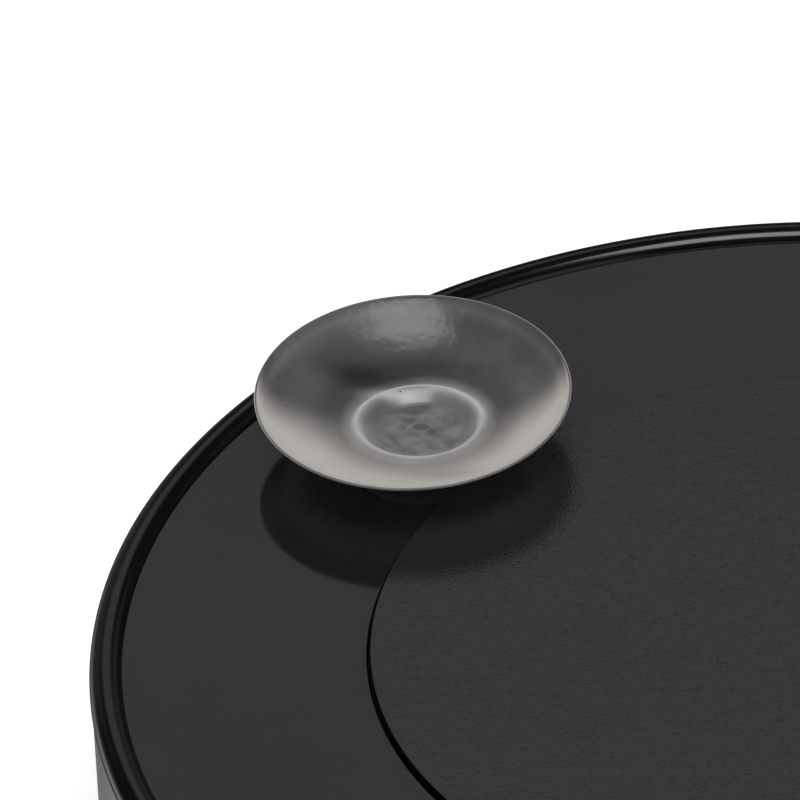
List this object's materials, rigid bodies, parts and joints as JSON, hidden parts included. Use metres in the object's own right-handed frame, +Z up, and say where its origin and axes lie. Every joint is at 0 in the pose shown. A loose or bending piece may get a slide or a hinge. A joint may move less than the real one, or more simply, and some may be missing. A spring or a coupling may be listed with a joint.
{
  "type": "display turntable",
  "caption": "Low round battery-driven display turntable: black platter with a rounded gloss rim, a grained centre disc and clear suction cups that grip a plate.",
  "frame": {"origin": "on the turning axis, on the floor under the feet", "axes": "+Z up along the turning axis; -Y is the side the battery door slides out of, towards the viewer of the picture; +X is the switch side"},
  "size_m": [0.182, 0.182, 0.0495],
  "materials": {
    "black_abs_satin": "moulded black ABS, fine satin grain",
    "black_abs_gloss": "moulded black ABS, polished rim and smooth ring",
    "black_grained": "moulded black plastic, fine leather-like grain",
    "clear_soft": "clear soft PVC, slightly frosted, seen through",
    "black_rubber": "matte black rubber",
    "screw_steel": "zinc-plated steel",
    "bright_steel": "ground steel",
    "bronze": "turned bronze or brass",
    "natural_nylon": "natural acetal or nylon",
    "grey_abs": "moulded dark grey ABS",
    "zinc_steel": "zinc-plated drawn steel",
    "ferrite": "dark sintered ferrite",
    "copper_winding": "lacquered copper wire and steel stack",
    "cell_jacket": "printed cell jacket, plain",
    "nickel_strip": "nickel-plated strip and wire",
    "red_wire": "red PVC insulation",
    "black_wire": "black PVC insulation"
  },
  "bodies": {
    "base": {"base_housing": "black_abs_satin", "bottom_cover": "black_abs_satin", "foot_front_left": "black_rubber", "foot_front_right": "black_rubber", "foot_rear_left": "black_rubber", "foot_rear_right": "black_rubber", "cover_screws": "screw_steel", "spindle_bush": "bronze", "lower_bush": "bronze", "gear_pins": "bright_steel", "gear_plate": "grey_abs", "gear_plate_screws": "screw_steel", "motor_can": "zinc_steel", "motor_endcap": "natural_nylon", "motor_magnets": "ferrite", "motor_terminals": "bronze", "battery_1": "cell_jacket", "battery_2": "cell_jacket", "contact_link": "nickel_strip", "contact_positive": "nickel_strip", "contact_negative": "nickel_strip", "battery_spring_1": "nickel_strip", "battery_spring_2": "nickel_strip", "switch_body": "grey_abs", "switch_terminals": "bronze", "wire_battery_switch": "red_wire", "wire_switch_motor": "red_wire", "wire_motor_battery": "black_wire"},
    "turning_top": {"platter": "black_abs_gloss", "centre_disc": "black_grained", "suction_cup_1": "clear_soft", "suction_cup_2": "clear_soft", "suction_cup_3": "clear_soft", "platter_screw": "screw_steel", "spindle": "bright_steel", "retaining_clip": "screw_steel", "output_gear": "natural_nylon"},
    "cage": {"ball_cage": "natural_nylon", "bearing_balls": "bright_steel"},
    "wheel_c": {"gear_c": "natural_nylon"},
    "wheel_b": {"gear_b": "natural_nylon"},
    "wheel_a": {"gear_a": "natural_nylon"},
    "rotor": {"motor_shaft": "bright_steel", "motor_armature": "copper_winding", "motor_pinion": "bronze"},
    "switch": {"switch_slider": "black_abs_satin"},
    "door": {"battery_door": "black_abs_satin"}
  },
  "joints": [
    {"name": "platter_spin", "type": "hinge", "parent": "base", "child": "turning_top", "pos_m": [0, 0, 0.02], "axis": [0, 0, 1], "continuous": true},
    {"name": "cage_spin", "type": "hinge", "parent": "base", "child": "cage", "pos_m": [0, 0, 0.02], "axis": [0, 0, 1], "continuous": true},
    {"name": "gear_c_spin", "type": "hinge", "parent": "base", "child": "wheel_c", "pos_m": [0, 0.0288, 0.02], "axis": [0, 0, 1], "continuous": true},
    {"name": "gear_b_spin", "type": "hinge", "parent": "base", "child": "wheel_b", "pos_m": [-0.01559, 0.0378, 0.02], "axis": [0, 0, 1], "continuous": true},
    {"name": "gear_a_spin", "type": "hinge", "parent": "base", "child": "wheel_a", "pos_m": [-0.03331, 0.03467, 0.02], "axis": [0, 0, 1], "continuous": true},
    {"name": "motor_spin", "type": "hinge", "parent": "base", "child": "rotor", "pos_m": [-0.03947, 0.01776, 0.02], "axis": [0, 0, 1], "continuous": true},
    {"name": "switch_slide", "type": "slide", "parent": "base", "child": "switch", "axis": [0, 1, 0], "range_m": [0, 0.005]},
    {"name": "door_slide", "type": "slide", "parent": "base", "child": "door", "axis": [0, -1, 0], "range_m": [0, 0.045]}
  ],
  "couplings": [
    {"joint": "cage_spin", "follows": "platter_spin", "ratio": 0.5},
    {"joint": "gear_c_spin", "follows": "platter_spin", "ratio": -7},
    {"joint": "gear_b_spin", "follows": "platter_spin", "ratio": 28},
    {"joint": "gear_a_spin", "follows": "platter_spin", "ratio": -112},
    {"joint": "motor_spin", "follows": "platter_spin", "ratio": 448}
  ]
}
